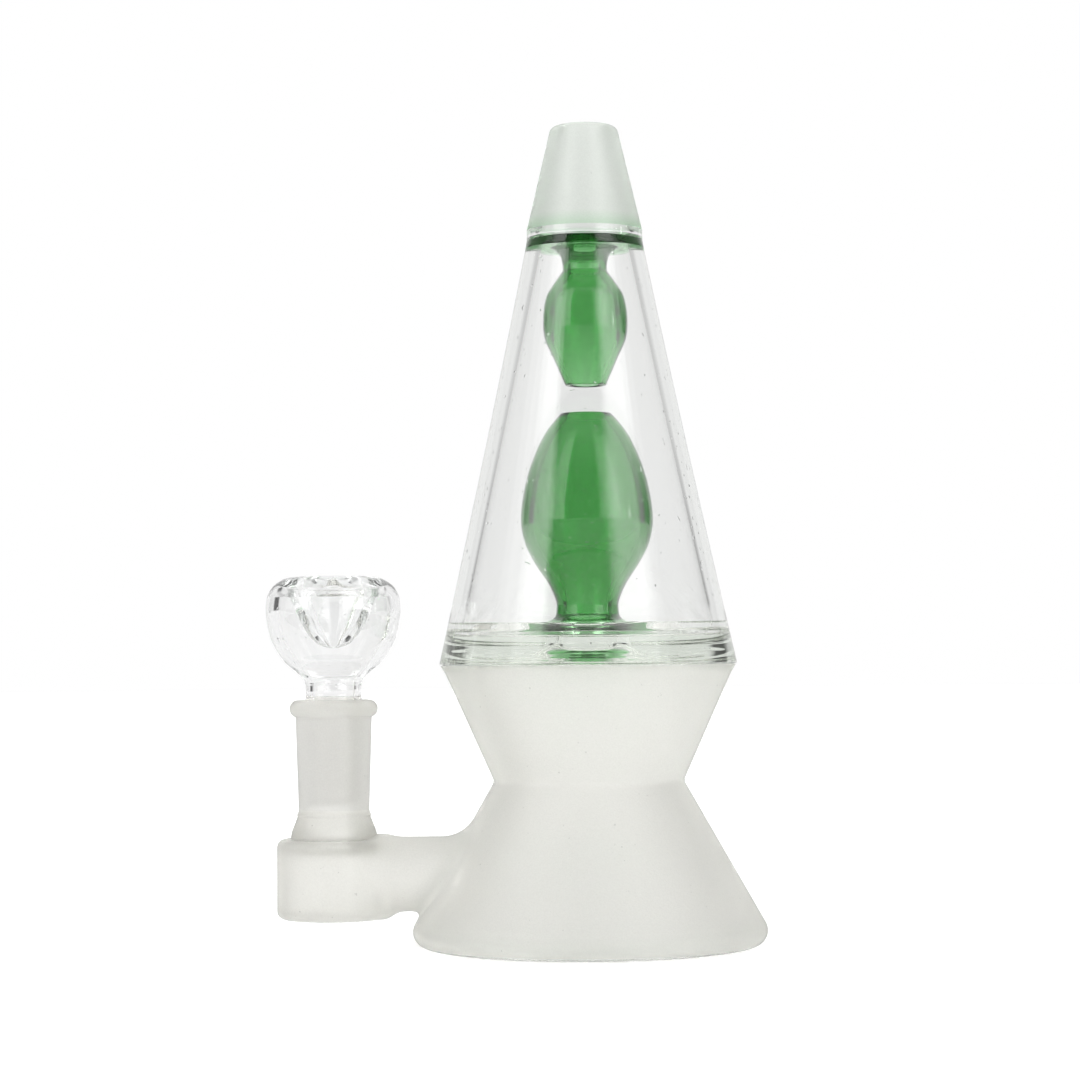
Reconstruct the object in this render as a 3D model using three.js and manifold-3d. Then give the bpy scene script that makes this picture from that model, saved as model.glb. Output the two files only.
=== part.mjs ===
// A glass water pipe in the shape of a lava lamp, in millimetres, +Z up.
// The origin is the middle of the flat underside. The side arm with its bowl points along -X.
// Each piece is one length of glass, as it is before the glassblower welds it to the next,
// and the bowl is loose: it lifts straight up out of its ground joint.
import * as THREE from "three";
import { mergeVertices } from "three/addons/utils/BufferGeometryUtils.js";
import Module from "manifold-3d";

const wasm = await Module();
wasm.setup();

// ---- Driving dimensions -------------------------------------------------------------------

const BIG_SIDES = 48; // facets round the base, the deck and the cone
const SIDES = 32; // facets round everything smaller
const SLIM_SIDES = 20; // facets round the hidden diffuser
const WELD_GAP = 0.3; // left round a piece that passes through a hole in another

// Base: an hourglass of two cones on a flat floor
const BASE_WALL = 4;
const FOOT_FLAT_RADIUS = 40; // where the flat underside ends and the heel starts
const HEEL_RADIUS = 3.7;
const WAIST = { radius: 23.4, z: 40.5 };
const RIM = { radius: 36.8, z: 69.5 };
const FLOOR_THICKNESS = 4;

// Deck and clear cone
const CONE_WALL = 3.8;
const CONE_TOP = { radius: 14.8, z: 172.2 };
const DECK_EDGE_Z = 74.7; // top of the deck where the cone stands on it
const DECK_HOLE_RADIUS = 7.1; // passage up into the lower vase
const DECK_BOSS = { radius: 14.6, z: 78.1 }; // raised middle that carries the vase's foot
const DECK_RING = { radius: 20.4, z: 77.1 }; // melted outer edge of the boss
const DECK_DIP = { radius: 24.4, z: 75.2 };
const CONE_FILLET = { radius: 28.5, z: 79 }; // inside fillet between the deck and the cone's wall

// Lower vase: foot, neck, belly and open mouth
const LOWER_VASE_WALLS = [2.35, 3, 3, 2.4]; // from the neck up to the mouth
const LOWER_VASE_NECK = { radius: 7.75, z: 82.4 };
const LOWER_VASE_FOOT_RADIUS = 13.6;
const LOWER_VASE_FOOT_THICKNESS = 0.6;
const LOWER_VASE_BELLY = { radius: 16.4, z: 104.8 };
const LOWER_VASE_MOUTH = { radius: 6.3, z: 131 };

// Upper disc and the vase that hangs from it
const DISC_TOP = { radius: 14.4, z: 174.4 };
const UPPER_VASE_WALLS = [1.4, 2.8, 2.4]; // from the mouth up to the neck
const UPPER_VASE_NECK = { radius: 5.5, z: 166.5 };
const UPPER_VASE_BELLY = { radius: 10.5, z: 154.9 };
const UPPER_VASE_MOUTH = { radius: 5, z: 137.9 };

// Mouthpiece
const MOUTHPIECE_WALL = 3;
const MOUTHPIECE_TOP = { radius: 8.6, z: 203 };
const MOUTHPIECE_LIP_RADIUS = 1.9;
const MOUTH_BORE_RADIUS = 5.4;

// Side arm: pot, side tube and inline diffuser
const ARM_X = -63;
const POT_RADIUS = 14.2;
const POT_WALL = 2.6;
const POT_BOTTOM_Z = 7;
const POT_TOP_Z = 26.6;
const POT_CORNER = 2;
const SIDE_TUBE_Z = 17.8;
const SIDE_TUBE_RADIUS = 9.2;
const SIDE_TUBE_WALL = 2.4;
const SIDE_TUBE_END_X = -26;
const DIFFUSER_RADIUS = 8;
const DIFFUSER_WALL = 1.8;
const DIFFUSER_END_X = 22;
const SLIT_WIDTH = 1.2;
const SLIT_PITCH = 6;
const SLIT_COUNT = 6;

// Ground joint, size 14.5/23: 14.5 mm across at the wide end, 23 mm long, 1 in 10
const JOINT_BORE_RADIUS = 7.25;
const JOINT_TAPER = 0.05; // radius lost per millimetre of depth
const JOINT_FIT = 0.08; // radial gap between the two ground faces
const SOCKET_LIP = { radius: 10.9, bottom: 56.5, top: 60.9 };
const SOCKET_RADIUS_TOP = 9.4;
const SOCKET_RADIUS_BOTTOM = 8.8;
const SOCKET_NECK_Z = 33.2;
const SOCKET_FOOT_RADIUS = 10.9;
const PLUG_END_Z = 35.4; // lower end of the bowl's male joint

// Bowl: a globe with its rim turned in to a funnel
const BOWL_WALLS = [1.8, 2.9, 2.9, 2.9]; // from the neck up to the shoulder
const BOWL_NECK = { radius: 6.9, bore: 5.1, bottom: 61.4, top: 64.4 };
const BOWL_BELLY = { radius: 16.75, z: 82 };
const BOWL_RIM = { radius: 9.9, z: 91.3 };
const FUNNEL_TIP_Z = 74.1;
const FUNNEL_HOLE_RADIUS = 0.9;

// ---- Finishes -----------------------------------------------------------------------------

const GLASS = {
  clear: { color: 0xf4f7f5, roughness: 0.05, metalness: 0 },
  frosted: { color: 0xe6e7e2, roughness: 0.75, metalness: 0 },
  green: { color: 0x4f9e52, roughness: 0.05, metalness: 0 },
};

// ---- Profile helpers: every point is [radius, z] ------------------------------------------

// An arc about (radius, z), from one angle to another in degrees, 0 pointing outwards and 90 up.
function arc(radius, z, size, from, to, steps) {
  return Array.from({ length: steps + 1 }, (_, i) => {
    const angle = THREE.MathUtils.degToRad(from + ((to - from) * i) / steps);
    return [radius + size * Math.cos(angle), z + size * Math.sin(angle)];
  });
}

// A smooth curve through a few points.
function spline(points, steps) {
  const curve = new THREE.SplineCurve(points.map(([r, z]) => new THREE.Vector2(r, z)));
  return curve.getPoints(steps).map(({ x, y }) => [x, y]);
}

// The same line moved towards the axis by a wall's thickness, for a line that runs upwards.
// The walls are the thicknesses at evenly spaced places along it.
function inset(line, walls) {
  return line.map(([r, z], i) => {
    const place = (i / (line.length - 1)) * (walls.length - 1);
    const before = Math.min(Math.floor(place), walls.length - 2);
    const wall = THREE.MathUtils.lerp(walls[before], walls[before + 1], place - before);
    const [r0, z0] = line[Math.max(i - 1, 0)];
    const [r1, z1] = line[Math.min(i + 1, line.length - 1)];
    const length = Math.hypot(r1 - r0, z1 - z0);
    return [r - (wall * (z1 - z0)) / length, z + (wall * (r1 - r0)) / length];
  });
}

// The outer radius at a height, on the straight line between two {radius, z} places.
function radiusBetween(low, high, z) {
  return low.radius + ((high.radius - low.radius) * (z - low.z)) / (high.z - low.z);
}

// ---- Geometry helpers ---------------------------------------------------------------------

// A section turned about the Z axis. It runs up the outside and comes back down the inside.
function turn(profile, sides = SIDES) {
  const [[r0, z0]] = profile;
  const onAxis = r0 === 0;
  const points = profile.map(([r, z]) => new THREE.Vector2(r, z));
  if (!onAxis) points.push(new THREE.Vector2(r0, z0));
  return new THREE.LatheGeometry(points, sides).rotateX(Math.PI / 2);
}

// A round bar or tube along X. The wall is its thickness, or null for a solid bar.
function barAlongX(radius, wall, x0, x1) {
  const profile = wall === null
    ? [[0, x0], [radius, x0], [radius, x1], [0, x1]]
    : [[radius - wall, x0], [radius, x0], [radius, x1], [radius - wall, x1]];
  return turn(profile).rotateY(Math.PI / 2);
}

function toSolid(geometry) {
  const bare = geometry.clone();
  bare.deleteAttribute("normal");
  bare.deleteAttribute("uv");
  const merged = mergeVertices(bare, 1e-4);
  return new wasm.Manifold(
    new wasm.Mesh({
      numProp: 3,
      vertProperties: merged.attributes.position.array,
      triVerts: new Uint32Array(merged.index.array),
    }),
  );
}

function toGeometry(solid) {
  const mesh = solid.getMesh();
  const geometry = new THREE.BufferGeometry();
  geometry.setAttribute("position", new THREE.BufferAttribute(mesh.vertProperties, 3));
  geometry.setIndex(new THREE.BufferAttribute(mesh.triVerts, 1));
  geometry.computeVertexNormals();
  return geometry;
}

function cut(geometry, ...tools) {
  return toGeometry(tools.reduce((rest, tool) => rest.subtract(toSolid(tool)), toSolid(geometry)));
}

const pipe = new THREE.Group();

function addGlass(name, geometry, finish) {
  const mesh = new THREE.Mesh(geometry, new THREE.MeshStandardMaterial(GLASS[finish]));
  mesh.name = name;
  pipe.add(mesh);
  return mesh;
}

// ---- Base ---------------------------------------------------------------------------------

const waistBore = WAIST.radius - BASE_WALL;
const floorRadius = FOOT_FLAT_RADIUS - BASE_WALL;
const coneOuter = (z) => radiusBetween(RIM, CONE_TOP, z);

// Lower cone, from the rounded heel up to the waist, with a hole for the side tube
function baseBell() {
  const widest = { radius: FOOT_FLAT_RADIUS + HEEL_RADIUS, z: HEEL_RADIUS };
  const lean = THREE.MathUtils.radToDeg(
    Math.atan2(widest.radius - WAIST.radius, WAIST.z - widest.z),
  );
  const heel = [
    ...arc(FOOT_FLAT_RADIUS, HEEL_RADIUS, HEEL_RADIUS, -90, 0, 4),
    ...arc(FOOT_FLAT_RADIUS, HEEL_RADIUS, HEEL_RADIUS, lean, lean, 1).slice(1),
  ];
  const bell = turn(
    [[floorRadius, 0], ...heel, [WAIST.radius, WAIST.z], [waistBore, WAIST.z],
      [floorRadius, FLOOR_THICKNESS + 3]],
    BIG_SIDES,
  );
  const hole = barAlongX(SIDE_TUBE_RADIUS + WELD_GAP, null, -60, -20);
  hole.translate(0, 0, SIDE_TUBE_Z);
  return cut(bell, hole);
}

function baseFloor() {
  return turn(
    [[0, 0], [floorRadius, 0], [floorRadius, FLOOR_THICKNESS], [0, FLOOR_THICKNESS]],
    BIG_SIDES,
  );
}

function baseCup() {
  return turn(
    [[waistBore, WAIST.z], [WAIST.radius, WAIST.z], [RIM.radius, RIM.z],
      [RIM.radius - BASE_WALL, RIM.z]],
    BIG_SIDES,
  );
}

addGlass("base_floor", baseFloor(), "clear");
addGlass("base_bell", baseBell(), "frosted");
addGlass("base_cup", baseCup(), "frosted");

// ---- Deck, cone and lower vase ------------------------------------------------------------

// Thick disc that closes the cup: its top dips between the boss and the cone's fillet
function lowerDeck() {
  const hole = DECK_HOLE_RADIUS;
  const top = spline(
    [[CONE_FILLET.radius, DECK_EDGE_Z], [DECK_DIP.radius, DECK_DIP.z],
      [DECK_RING.radius, DECK_RING.z], [DECK_BOSS.radius, DECK_BOSS.z]],
    6,
  );
  return turn(
    [[hole, RIM.z], [RIM.radius, RIM.z], [coneOuter(DECK_EDGE_Z), DECK_EDGE_Z], ...top,
      [hole, DECK_BOSS.z]],
    BIG_SIDES,
  );
}

// Clear cone, thickened inside its foot by a hollow fillet
function coneBody() {
  const filletTop = [coneOuter(CONE_FILLET.z) - CONE_WALL, CONE_FILLET.z];
  const fillet = spline(
    [filletTop, [filletTop[0] - 0.9, CONE_FILLET.z - 2.9], [CONE_FILLET.radius, DECK_EDGE_Z]],
    4,
  );
  return turn(
    [[coneOuter(DECK_EDGE_Z), DECK_EDGE_Z], [CONE_TOP.radius, CONE_TOP.z],
      [CONE_TOP.radius - CONE_WALL, CONE_TOP.z], ...fillet],
    BIG_SIDES,
  );
}

// Outside line of the lower vase, from its neck to its mouth
function lowerVaseLine() {
  const { radius, z } = LOWER_VASE_BELLY;
  return spline(
    [[LOWER_VASE_NECK.radius, LOWER_VASE_NECK.z], [8.1, z - 19.3], [12.8, z - 11.2],
      [radius, z], [radius - 0.9, z + 7.5], [12.6, z + 16.8],
      [LOWER_VASE_MOUTH.radius, LOWER_VASE_MOUTH.z]],
    14,
  );
}

function lowerVase() {
  const outside = lowerVaseLine();
  const inside = inset(outside, LOWER_VASE_WALLS);
  inside[inside.length - 1][1] = LOWER_VASE_MOUTH.z;
  const footTop = DECK_BOSS.z + LOWER_VASE_FOOT_THICKNESS;
  return turn([
    [LOWER_VASE_NECK.radius - LOWER_VASE_WALLS[0], DECK_BOSS.z],
    [LOWER_VASE_FOOT_RADIUS, DECK_BOSS.z],
    [LOWER_VASE_FOOT_RADIUS - 0.5, footTop],
    [10.4, footTop + 0.6],
    [8.6, footTop + 1.6],
    ...outside,
    ...inside.reverse(),
  ]);
}

addGlass("lower_deck", lowerDeck(), "clear");
addGlass("cone_body", coneBody(), "clear");
addGlass("lower_vase", lowerVase(), "green");

// ---- Upper disc, upper vase and mouthpiece ------------------------------------------------

function upperDisc() {
  const hole = UPPER_VASE_NECK.radius + WELD_GAP;
  return turn(
    [[hole, CONE_TOP.z], [CONE_TOP.radius, CONE_TOP.z], [DISC_TOP.radius, DISC_TOP.z],
      [hole, DISC_TOP.z]],
    BIG_SIDES,
  );
}

// Open tube whose neck goes up through the disc, with its belly and open mouth hanging below
function upperVase() {
  const { radius, z } = UPPER_VASE_BELLY;
  const outside = [
    ...spline(
      [[UPPER_VASE_MOUTH.radius, UPPER_VASE_MOUTH.z], [7.9, z - 10.4], [10.15, z - 5.2],
        [radius, z], [9.7, z + 5], [8, z + 8], [UPPER_VASE_NECK.radius, UPPER_VASE_NECK.z]],
      12,
    ),
    [UPPER_VASE_NECK.radius, DISC_TOP.z],
  ];
  const inside = inset(outside, UPPER_VASE_WALLS);
  inside[0][1] = UPPER_VASE_MOUTH.z;
  return turn([...outside, ...inside.reverse()]);
}

function mouthpiece() {
  const lip = MOUTHPIECE_LIP_RADIUS;
  return turn([
    [DISC_TOP.radius - MOUTHPIECE_WALL, DISC_TOP.z],
    [DISC_TOP.radius, DISC_TOP.z],
    ...arc(MOUTHPIECE_TOP.radius - lip, MOUTHPIECE_TOP.z - lip, lip, 12, 90, 4),
    [MOUTH_BORE_RADIUS + 0.5, MOUTHPIECE_TOP.z],
    [MOUTH_BORE_RADIUS, MOUTHPIECE_TOP.z - 0.8],
  ]);
}

addGlass("upper_disc", upperDisc(), "green");
addGlass("upper_vase", upperVase(), "green");
addGlass("mouthpiece", mouthpiece(), "frosted");

// ---- Side arm -----------------------------------------------------------------------------

const jointRadius = (z) => JOINT_BORE_RADIUS - JOINT_TAPER * (SOCKET_LIP.top - z);
const socketBore = jointRadius(PLUG_END_Z);

// Closed round pot under the joint, open at the top into the socket and at the side into the tube
function sidePot() {
  const outer = POT_RADIUS - POT_CORNER;
  const bore = POT_RADIUS - POT_WALL;
  const pot = turn([
    [0, POT_BOTTOM_Z],
    ...arc(outer, POT_BOTTOM_Z + POT_CORNER, POT_CORNER, -90, 0, 3),
    ...arc(outer, POT_TOP_Z - POT_CORNER, POT_CORNER, 0, 90, 3),
    [socketBore, POT_TOP_Z],
    [socketBore, POT_TOP_Z - POT_WALL],
    [bore, POT_TOP_Z - POT_WALL],
    [bore, POT_BOTTOM_Z + POT_WALL],
    [0, POT_BOTTOM_Z + POT_WALL],
  ]);
  const hole = barAlongX(SIDE_TUBE_RADIUS + WELD_GAP, null, 0, 20);
  hole.translate(0, 0, SIDE_TUBE_Z);
  return cut(pot, hole);
}

// Tube from the pot's bore to the inside of the base, its outer end shaped to the bore
function sideTube() {
  const tube = barAlongX(SIDE_TUBE_RADIUS, SIDE_TUBE_WALL, ARM_X, SIDE_TUBE_END_X);
  tube.translate(0, 0, SIDE_TUBE_Z);
  const bore = turn([[0, 0], [POT_RADIUS - POT_WALL, 0], [POT_RADIUS - POT_WALL, 40], [0, 40]]);
  bore.translate(ARM_X, 0, 0);
  return cut(tube, bore);
}

// Slit tube that breaks the smoke into bubbles under water, closed by a round end
function inlineDiffuser() {
  const wall = DIFFUSER_WALL;
  const dome = DIFFUSER_RADIUS;
  const start = SIDE_TUBE_END_X;
  const domeX = DIFFUSER_END_X - dome;
  const shell = turn([
    [dome - wall, start],
    [dome, start],
    ...arc(0, domeX, dome, 0, 90, 5),
    ...arc(0, domeX, dome - wall, 90, 0, 5),
  ].map(([r, x]) => [Math.abs(r) < 1e-9 ? 0 : r, x]), SLIM_SIDES).rotateY(Math.PI / 2);
  shell.translate(0, 0, SIDE_TUBE_Z);
  const slits = Array.from({ length: SLIT_COUNT }, (_, i) => {
    const slit = new THREE.BoxGeometry(SLIT_WIDTH, 4 * dome, dome);
    const x = domeX - 2 - i * SLIT_PITCH;
    return slit.translate(x, 0, SIDE_TUBE_Z - dome + 1);
  });
  return cut(shell, ...slits);
}

// Female ground joint: flared foot, tapered bore and rolled lip
function jointSocket() {
  const lipSize = (SOCKET_LIP.top - SOCKET_LIP.bottom) / 2;
  const lipZ = (SOCKET_LIP.top + SOCKET_LIP.bottom) / 2;
  return turn([
    [socketBore, POT_TOP_Z],
    [SOCKET_FOOT_RADIUS, POT_TOP_Z],
    [SOCKET_FOOT_RADIUS - 0.2, POT_TOP_Z + 1],
    [SOCKET_RADIUS_BOTTOM + 0.8, POT_TOP_Z + 3.6],
    [SOCKET_RADIUS_BOTTOM, SOCKET_NECK_Z],
    [SOCKET_RADIUS_TOP, SOCKET_LIP.bottom],
    ...arc(SOCKET_LIP.radius - lipSize, lipZ, lipSize, -60, 60, 5),
    [SOCKET_RADIUS_TOP - 1.1, SOCKET_LIP.top],
    [JOINT_BORE_RADIUS, SOCKET_LIP.top],
    [socketBore, PLUG_END_Z],
  ]);
}

addGlass("side_pot", sidePot(), "frosted").position.x = ARM_X;
addGlass("side_tube", sideTube(), "frosted");
addGlass("inline_diffuser", inlineDiffuser(), "clear");
addGlass("joint_socket", jointSocket(), "frosted").position.x = ARM_X;

// ---- Loose bowl ---------------------------------------------------------------------------

// Male ground joint with a plain neck above it
function bowlJoint() {
  const face = (z) => jointRadius(z) - JOINT_FIT;
  const bore = face(PLUG_END_Z) - 1.3;
  return turn([
    [bore, PLUG_END_Z],
    [face(PLUG_END_Z), PLUG_END_Z],
    [face(SOCKET_LIP.top), SOCKET_LIP.top],
    [BOWL_NECK.radius, BOWL_NECK.bottom],
    [BOWL_NECK.radius, BOWL_NECK.top],
    [BOWL_NECK.bore, BOWL_NECK.top],
    [BOWL_NECK.bore, BOWL_NECK.bottom - 2],
  ]);
}

// Globe whose rim turns in and runs down to a funnel with a small hole at its tip
function bowlCup() {
  const { radius, z } = BOWL_BELLY;
  const globe = spline(
    [[BOWL_NECK.radius, BOWL_NECK.top], [9.3, 67.9], [12.3, 70.6], [15.3, 75.6], [radius, z],
      [16.45, z + 3.9]],
    12,
  );
  const globeInside = inset(globe.slice(1, -1), BOWL_WALLS).reverse();
  const shoulder = spline([[15.7, 87.8], [14.5, 89.3], [12.2, 90.8], [BOWL_RIM.radius, BOWL_RIM.z]], 4);
  const hole = FUNNEL_HOLE_RADIUS;
  return turn([
    ...globe,
    ...shoulder,
    [8.6, BOWL_RIM.z - 1],
    [4.9, 84.8],
    [2.4, 79.5],
    [hole, FUNNEL_TIP_Z + 2.6],
    [hole, FUNNEL_TIP_Z],
    [3.2, FUNNEL_TIP_Z + 0.9],
    [5.1, FUNNEL_TIP_Z + 2.5],
    [7.8, 80.7],
    [10, 86.3],
    [12.2, 87.5],
    ...globeInside,
    [BOWL_NECK.bore, BOWL_NECK.top + 0.8],
    [BOWL_NECK.bore, BOWL_NECK.top],
  ]);
}

addGlass("bowl_joint", bowlJoint(), "frosted").position.x = ARM_X;
addGlass("bowl_cup", bowlCup(), "clear").position.x = ARM_X;

export default pipe;
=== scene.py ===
"""Looks of a glass water pipe in the shape of a lava lamp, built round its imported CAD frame.

Every glass piece is turned on a lathe at full smoothness and replaces its faceted CAD nodes.
Profiles are lists of (radius, height) in millimetres. They run up the outside of a piece and
back down its inside, so that every face looks outwards. Driving sizes are read from the
frame's boxes; only what a box can't give, such as a wall or a fillet, is stated here.
"""
import math

import bmesh
import bpy
import numpy as np
from mathutils import Euler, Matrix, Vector


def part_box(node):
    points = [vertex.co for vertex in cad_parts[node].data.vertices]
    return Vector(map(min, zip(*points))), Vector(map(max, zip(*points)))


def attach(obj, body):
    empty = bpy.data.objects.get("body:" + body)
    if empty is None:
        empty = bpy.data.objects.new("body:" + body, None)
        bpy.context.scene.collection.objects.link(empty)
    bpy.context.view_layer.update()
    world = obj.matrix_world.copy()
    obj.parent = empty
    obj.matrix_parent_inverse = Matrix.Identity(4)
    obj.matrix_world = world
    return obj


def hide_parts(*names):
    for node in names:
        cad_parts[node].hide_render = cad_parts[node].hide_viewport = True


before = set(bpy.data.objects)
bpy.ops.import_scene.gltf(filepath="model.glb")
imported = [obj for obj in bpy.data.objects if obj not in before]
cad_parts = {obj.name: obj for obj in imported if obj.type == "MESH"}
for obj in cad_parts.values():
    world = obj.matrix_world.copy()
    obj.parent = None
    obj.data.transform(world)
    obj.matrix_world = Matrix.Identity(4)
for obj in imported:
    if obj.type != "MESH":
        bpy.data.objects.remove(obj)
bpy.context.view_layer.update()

MM = 0.001
SHARP_ANGLE = 40  # degrees between faces, above which an edge shades as sharp
BIG_SIDES = 192
SIDES = 144
WHITE = (1, 1, 1, 1)
LONGEST_SPAN = 1.2  # mm: straight walls are divided, so that their shading stays straight
WELD = 0.02  # mm that one piece of glass reaches into the next, where the two are welded


# ---- Camera: first, because everything else is judged through it ---------------------------

CAMERA_DISTANCE = 0.717
CAMERA_HEIGHT = 0.0708
CAMERA_LENS = 96.5
CAMERA_PITCH = 2.335
CAMERA_YAW = 0.95
CAMERA_ROLL = 0.45


def add_camera():
    data = bpy.data.cameras.new("camera")
    data.lens = CAMERA_LENS
    data.sensor_width = 36
    data.clip_start = 0.01
    camera = bpy.data.objects.new("camera", data)
    camera.location = (0, -CAMERA_DISTANCE, CAMERA_HEIGHT)
    camera.rotation_euler = Euler(
        [math.radians(a) for a in (90 + CAMERA_PITCH, CAMERA_ROLL, CAMERA_YAW)]
    )
    bpy.context.scene.collection.objects.link(camera)
    bpy.context.scene.camera = camera


add_camera()


# ---- Node helpers ---------------------------------------------------------------------------


class Nodes:
    """A node tree that is written as plain calls."""

    def __init__(self, tree):
        self.tree = tree
        tree.nodes.clear()

    def add(self, kind, **inputs):
        node = self.tree.nodes.new(kind)
        for name, value in inputs.items():
            self.set(node, name.replace("_", " "), value)
        return node

    def set(self, node, name, value):
        socket = node.inputs[int(name)] if name.isdigit() else node.inputs[name]
        if isinstance(value, bpy.types.NodeSocket):
            self.tree.links.new(value, socket)
        else:
            socket.default_value = value

    def math(self, operation, *values):
        node = self.tree.nodes.new("ShaderNodeMath")
        node.operation = operation
        for i, value in enumerate(values):
            self.set(node, str(i), value)
        return node.outputs[0]

    def ramp(self, factor, stops, interpolation="LINEAR"):
        node = self.tree.nodes.new("ShaderNodeValToRGB")
        ramp = node.color_ramp
        ramp.interpolation = interpolation
        while len(ramp.elements) < len(stops):
            ramp.elements.new(0.5)
        for element, (position, value) in zip(ramp.elements, stops):
            element.position = position
            element.color = (value, value, value, 1) if isinstance(value, (int, float)) else value
        self.tree.links.new(factor, node.inputs["Fac"])
        return node.outputs["Color"]

    def mix(self, factor, a, b, blend="MIX"):
        node = self.tree.nodes.new("ShaderNodeMix")
        node.data_type = "RGBA"
        node.blend_type = blend
        for name, value in (("0", factor), ("6", a), ("7", b)):
            self.set(node, name, value)
        return node.outputs[2]

    def multiply(self, a, b):
        return self.mix(1.0, a, b, "MULTIPLY")


# ---- Studio: a light box with a white table, two big soft boxes and a dark room in front ----

# Brightness by azimuth in degrees: 0 is the front of the pipe and 90 its right side (+X).
# Narrow dark flags stand behind both sides. The ones at 120 to 135 draw the inner contours of
# the clear glass, and the ones at 150 to 160 draw its outlines. LOW is the studio near the
# horizon, and HIGH is what stands above FLAG_TOP. MIRRORED is what the glass reflects, and
# SEEN is what shows straight through it.
FLAG = 0.05
FLAG_TOP = (7, 15)  # elevation in degrees over which the walls above the flags take over
MIRRORED_LOW = [
    (-180, 0.86), (-140, 0.86), (-135, FLAG), (-122, FLAG), (-117, 0.6), (-86, 0.6), (-83, 1.4),
    (-66, 1.4), (-62, 3.2), (-40, 3.2), (-37, 0.3), (20, 0.3), (24, 1.6), (32, 3.2), (58, 3.2),
    (61, 1.4), (68, 1.4), (70, 0.5), (75.8, 0.5), (76.2, 8), (78.8, 8), (79.2, 0.5), (112, 0.5),
    (118, FLAG), (136, FLAG), (141, 0.86), (180, 0.86),
]
MIRRORED_HIGH = [
    (-180, 0.86), (-142, 0.86), (-132, 0.6), (-86, 0.6), (-83, 1.4), (-66, 1.4), (-62, 3.2),
    (-40, 3.2), (-37, 0.3), (20, 0.3), (24, 1.6), (32, 3.2), (58, 3.2), (61, 1.4), (68, 1.4),
    (70, 0.6), (132, 0.6), (142, 0.86), (180, 0.86),
]
SEEN_LOW = [
    (-180, 0.83), (-162, 0.83), (-160, FLAG), (-150, FLAG), (-148, 0.74), (-138, 0.74),
    (-133, FLAG), (-123, FLAG), (-118, 0.6), (-98, 0.86), (-82, 0.86), (-72, 0.4), (-20, 0.4),
    (-10, 0.85), (10, 0.85), (20, 0.4), (72, 0.4), (82, 0.86), (98, 0.86), (117, 0.6),
    (122, FLAG), (134, FLAG), (139, 0.74), (149, 0.74), (151, 0.3), (159, 0.3), (161, 0.83),
    (180, 0.83),
]
SEEN_HIGH = [
    (-180, 0.83), (-162, 0.83), (-160, FLAG), (-150, FLAG), (-148, 0.74), (-144, 0.74),
    (-132, 0.65), (-108, 0.65), (-98, 0.86), (-82, 0.86), (-72, 0.5), (-20, 0.5), (-10, 0.85),
    (10, 0.85), (20, 0.5), (72, 0.5), (82, 0.86), (98, 0.86), (108, 0.65), (132, 0.65),
    (144, 0.74), (155, 0.83), (180, 0.83),
]
CEILING = 0.95
CEILING_EDGE = (35, 75)  # elevation in degrees where the walls give way to the ceiling
BACKDROP = 1.0
RAMP_SCALE = 10  # colour ramps hold 0 to 1, so the studio's brightness is stored at a tenth


def azimuth_ramp(nodes, azimuth, stops):
    ramp = nodes.ramp(azimuth, [((a + 180) / 360, v / RAMP_SCALE) for a, v in stops])
    return nodes.math("MULTIPLY", ramp, RAMP_SCALE)


def rise(nodes, height, edge):
    """0 below an edge and 1 above it, for an elevation in radians and an edge in degrees."""
    node = nodes.add("ShaderNodeMapRange", Value=height)
    node.interpolation_type = "SMOOTHSTEP"
    node.inputs["From Min"].default_value = math.radians(edge[0])
    node.inputs["From Max"].default_value = math.radians(edge[1])
    return node.outputs["Result"]


def build_world():
    """What the glass mirrors is the studio; what is seen straight through it is softer."""
    world = bpy.data.worlds.new("studio")
    world.use_nodes = True
    nodes = Nodes(world.node_tree)
    place = nodes.add("ShaderNodeTexCoord").outputs["Generated"]
    split = nodes.add("ShaderNodeSeparateXYZ", Vector=place).outputs
    turn = nodes.math("ARCTAN2", split["X"], nodes.math("MULTIPLY", split["Y"], -1))
    azimuth = nodes.math("MULTIPLY_ADD", turn, 1 / (2 * math.pi), 0.5)
    height = nodes.math("ARCSINE", split["Z"])
    over_flags = rise(nodes, height, FLAG_TOP)
    over_walls = rise(nodes, height, CEILING_EDGE)

    def walls(low, high):
        lower, upper = (azimuth_ramp(nodes, azimuth, stops) for stops in (low, high))
        wall = nodes.mix(over_flags, lower, upper)
        return nodes.mix(over_walls, wall, (CEILING,) * 3 + (1,))

    path = nodes.add("ShaderNodeLightPath").outputs
    bounced = nodes.math("SUBTRACT", path["Ray Depth"], path["Transmission Depth"])
    any_bounce = nodes.math("GREATER_THAN", bounced, 0.5)
    light = nodes.mix(any_bounce, walls(SEEN_LOW, SEEN_HIGH), walls(MIRRORED_LOW, MIRRORED_HIGH))
    shown = nodes.mix(path["Is Camera Ray"], light, (BACKDROP,) * 3 + (1,))
    background = nodes.add("ShaderNodeBackground", Color=shown, Strength=1.0)
    output = nodes.add("ShaderNodeOutputWorld")
    nodes.set(output, "Surface", background.outputs[0])
    bpy.context.scene.world = world


TABLE_RADIUS = 6  # metres
TABLE_SIDES = 96
TABLE_DROP = 0.0002  # metres under the pipe, so that the two faces don't meet
TABLE_GLOW = 0.45
TABLE_GLOW_THROUGH_GLASS = 0.08  # weaker, so that clear glass shows against the table
TABLE_WHITE = 0.8


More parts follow.
